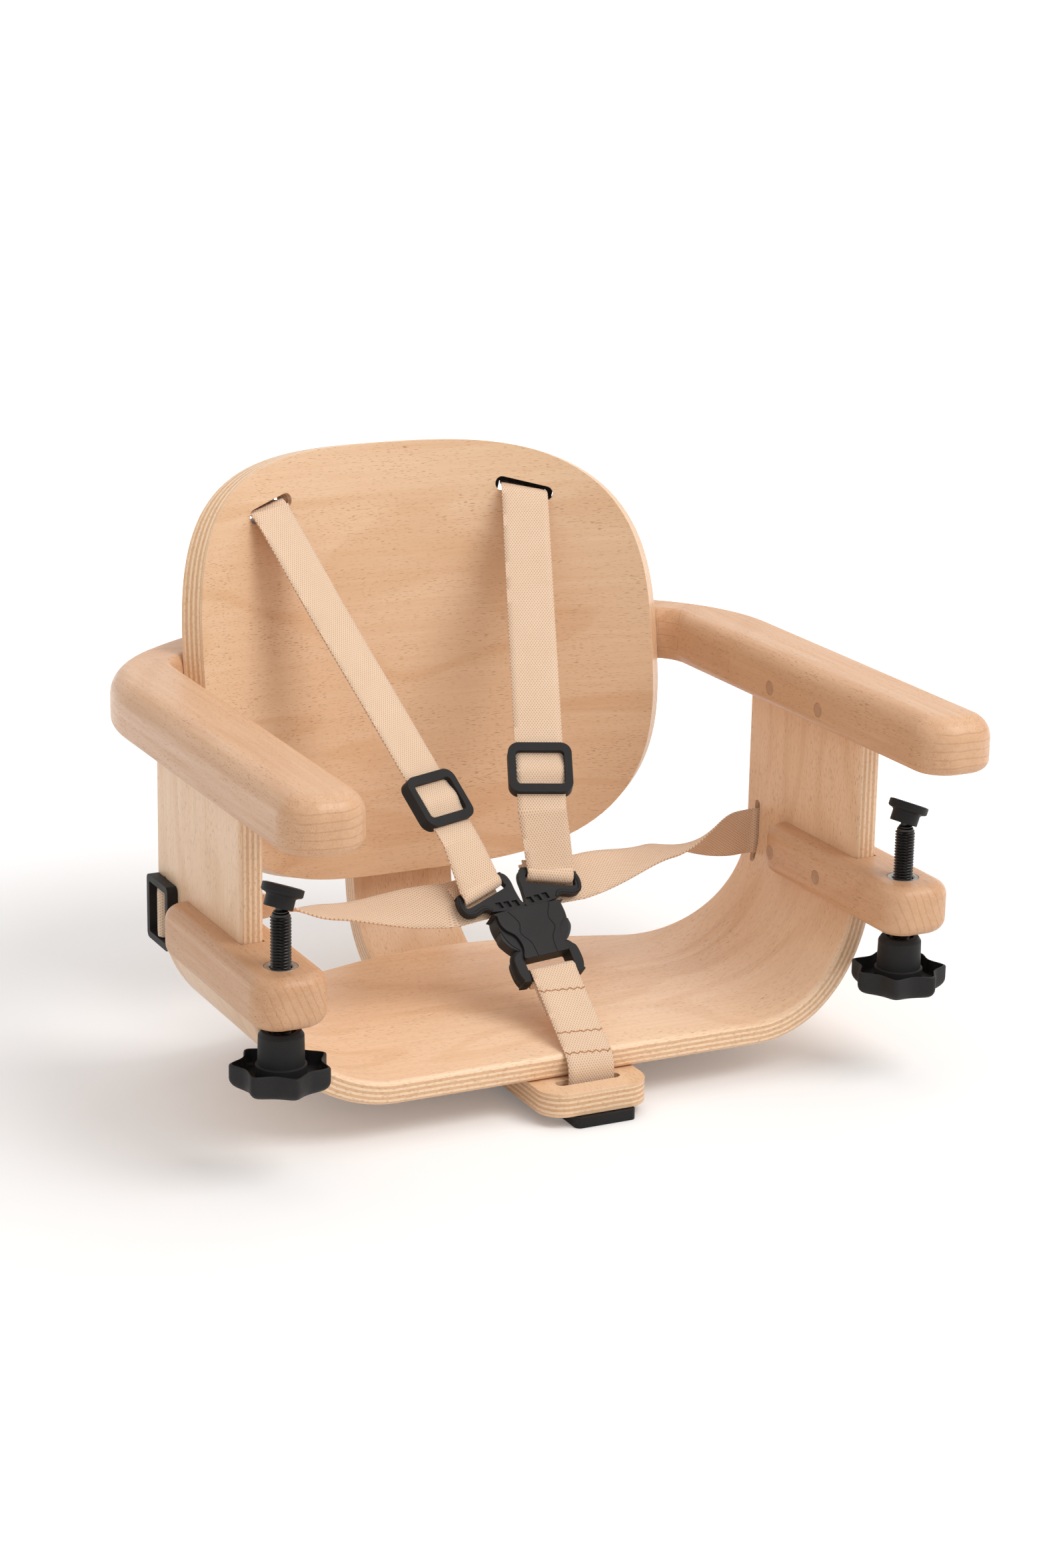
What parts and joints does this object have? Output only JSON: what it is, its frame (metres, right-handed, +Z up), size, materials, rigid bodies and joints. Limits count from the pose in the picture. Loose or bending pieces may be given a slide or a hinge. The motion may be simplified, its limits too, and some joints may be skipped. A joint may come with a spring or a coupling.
{
  "type": "hook-on high chair",
  "caption": "Clamp-on table seat for a small child: bent plywood seat, back and spine, solid wood arms and rail, screw clamps with swivel pads, and a webbing harness.",
  "frame": {"origin": "on the flat underside of the spine, at the middle of its width, in the plane of the side panels' front edges", "axes": "+Z up, -Y towards the front where the table is, +X towards the right arm as seen from the front"},
  "size_m": [0.3808, 0.3437, 0.2907],
  "materials": {
    "solid_beech": "clear satin lacquer, beech with short dark flecks",
    "bent_plywood": "clear satin lacquer, veneer faces with thin plies showing on the edges",
    "dowel_wood": "end grain, lacquered",
    "webbing": "woven webbing, tan",
    "black_plastic": "fine moulded texture",
    "zinc": "zinc plated, turned",
    "blackened_steel": "blackened, slight oil sheen"
  },
  "bodies": {
    "chair": {"seat_shell": "bent_plywood", "backrest": "bent_plywood", "spine": "bent_plywood", "rear_rail": "solid_beech", "left_arm": "solid_beech", "right_arm": "solid_beech", "left_clamp_block": "solid_beech", "right_clamp_block": "solid_beech", "left_front_arm_dowel": "dowel_wood", "left_rear_arm_dowel": "dowel_wood", "right_front_arm_dowel": "dowel_wood", "right_rear_arm_dowel": "dowel_wood", "left_front_block_dowel": "dowel_wood", "left_rear_block_dowel": "dowel_wood", "right_front_block_dowel": "dowel_wood", "right_rear_block_dowel": "dowel_wood", "left_thread_insert": "zinc", "right_thread_insert": "zinc", "front_seat_screw": "blackened_steel", "rear_seat_screw": "blackened_steel", "lower_spine_screw": "blackened_steel", "upper_spine_screw": "blackened_steel", "left_rail_screw": "blackened_steel", "right_rail_screw": "blackened_steel", "left_shoulder_strap": "webbing", "right_shoulder_strap": "webbing", "left_waist_strap": "webbing", "right_waist_strap": "webbing", "crotch_strap": "webbing", "left_back_slider": "black_plastic", "right_back_slider": "black_plastic", "left_waist_slider": "black_plastic", "right_waist_slider": "black_plastic", "crotch_slider": "black_plastic", "left_buckle_tongue": "black_plastic", "right_buckle_tongue": "black_plastic"},
    "left_ball": {"left_ball_stud": "blackened_steel"},
    "right_ball": {"right_ball_stud": "blackened_steel"},
    "left_screw": {"left_clamp_rod": "blackened_steel", "left_clamp_knob": "black_plastic"},
    "right_screw": {"right_clamp_rod": "blackened_steel", "right_clamp_knob": "black_plastic"},
    "left_pad": {"left_clamp_pad": "black_plastic"},
    "right_pad": {"right_clamp_pad": "black_plastic"},
    "left_adjuster": {"left_shoulder_adjuster": "black_plastic"},
    "right_adjuster": {"right_shoulder_adjuster": "black_plastic"},
    "buckle": {"buckle_body": "black_plastic"},
    "left_button": {"left_release_button": "black_plastic"},
    "right_button": {"right_release_button": "black_plastic"}
  },
  "joints": [
    {"name": "left_screw_travel", "type": "slide", "parent": "chair", "child": "left_ball", "axis": [0, 0, 1], "range_m": [-0.025, 0.0045]},
    {"name": "left_screw_turn", "type": "hinge", "parent": "left_ball", "child": "left_screw", "pos_m": [-0.168, -0.0348, 0.092], "axis": [0, 0, 1], "range_deg": [-5976, 1062]},
    {"name": "left_pad_tilt", "type": "hinge", "parent": "left_ball", "child": "left_pad", "pos_m": [-0.168, -0.0348, 0.132], "axis": [-0.4384, 0.8988, 0], "range_deg": [-44, 0]},
    {"name": "right_screw_travel", "type": "slide", "parent": "chair", "child": "right_ball", "axis": [0, 0, 1], "range_m": [-0.025, 0.0045]},
    {"name": "right_screw_turn", "type": "hinge", "parent": "right_ball", "child": "right_screw", "pos_m": [0.168, -0.0348, 0.092], "axis": [0, 0, 1], "range_deg": [-5976, 1062]},
    {"name": "right_pad_tilt", "type": "hinge", "parent": "right_ball", "child": "right_pad", "pos_m": [0.168, -0.0348, 0.132], "axis": [-0.225, 0.9744, 0], "range_deg": [-44, 0]},
    {"name": "left_adjuster_slide", "type": "slide", "parent": "chair", "child": "left_adjuster", "axis": [-0.2359, 0.5997, 0.7646], "range_m": [-0.008, 0.04]},
    {"name": "right_adjuster_slide", "type": "slide", "parent": "chair", "child": "right_adjuster", "axis": [0.2359, 0.5997, 0.7646], "range_m": [-0.008, 0.04]},
    {"name": "buckle_release", "type": "slide", "parent": "chair", "child": "buckle", "axis": [0.0785, -0.7049, -0.7049], "range_m": [0, 0.018], "deforming": ["crotch_strap"]},
    {"name": "left_button_press", "type": "slide", "parent": "buckle", "child": "left_button", "axis": [0.9969, 0.0555, 0.0555], "range_m": [0, 0.0018], "stiffness_N_per_m": 500},
    {"name": "right_button_press", "type": "slide", "parent": "buckle", "child": "right_button", "axis": [-0.9969, -0.0555, -0.0555], "range_m": [0, 0.0018], "stiffness_N_per_m": 500}
  ],
  "couplings": [
    {"joint": "left_screw_travel", "follows": "left_screw_turn", "m_per_rad": 0.00023873},
    {"joint": "right_screw_travel", "follows": "right_screw_turn", "m_per_rad": 0.00023873}
  ]
}
